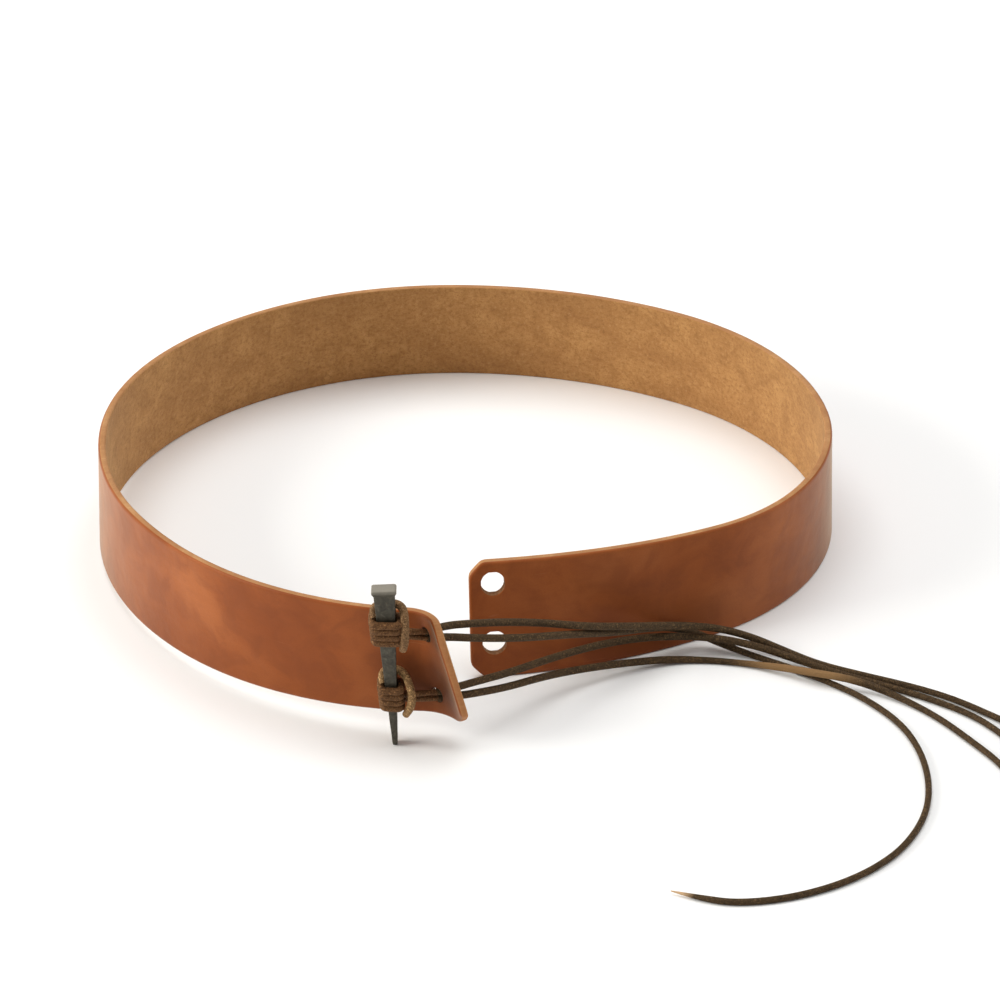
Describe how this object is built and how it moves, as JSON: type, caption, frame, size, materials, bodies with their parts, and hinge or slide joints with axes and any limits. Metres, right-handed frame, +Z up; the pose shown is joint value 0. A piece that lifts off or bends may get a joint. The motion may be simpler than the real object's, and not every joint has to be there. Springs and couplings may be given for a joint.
{
  "type": "leather belt with nail toggle",
  "caption": "Leather waist belt standing on edge as an open loop; a square cut nail lashed on with leather laces serves as its toggle, the lace tails trailing from the closure.",
  "frame": {"origin": "on the floor, under the middle of the belt without its laces' tails", "axes": "+X to the wearer's left, +Y to the middle of the back, +Z up across the strap's width"},
  "size_m": [0.3816, 0.3909, 0.0702],
  "materials": {
    "strap": "burnished vegetable-tanned leather, suede inside",
    "lace": "matt dark leather lace",
    "nail": "dull dark iron"
  },
  "bodies": {
    "back": {"strap_back": "strap"},
    "left_wing": {"strap_left": "strap", "upper_tail_curled": "lace", "upper_tail_straight": "lace", "lower_tail_high": "lace", "lower_tail_low": "lace", "upper_tail_coil": "lace", "lower_high_coil": "lace", "lower_low_coil": "lace"},
    "right_wing": {"strap_right": "strap"},
    "toggle": {"upper_thong_wrap": "lace", "lower_thong_wrap": "lace"},
    "nail": {"nail": "nail"}
  },
  "joints": [
    {"name": "left_flex", "type": "hinge", "parent": "back", "child": "left_wing", "pos_m": [-0.12657, -0.05437, 0.02636], "axis": [0, 0, -1], "range_deg": [0, 60], "stiffness_Nm_per_rad": 0.07},
    {"name": "right_flex", "type": "hinge", "parent": "back", "child": "right_wing", "pos_m": [0.11879, -0.0389, 0.0225], "axis": [0, 0, -1], "range_deg": [0, 35], "stiffness_Nm_per_rad": 0.07},
    {"name": "toggle_swing", "type": "hinge", "parent": "left_wing", "child": "toggle", "pos_m": [-0.00959, -0.13588, 0.01825], "axis": [-0.1351, -0.1089, 0.9848], "range_deg": [0, 45]},
    {"name": "nail_slide", "type": "slide", "parent": "toggle", "child": "nail", "axis": [-0.0416, -0.1253, 0.9912], "range_m": [0, 0.062]}
  ]
}
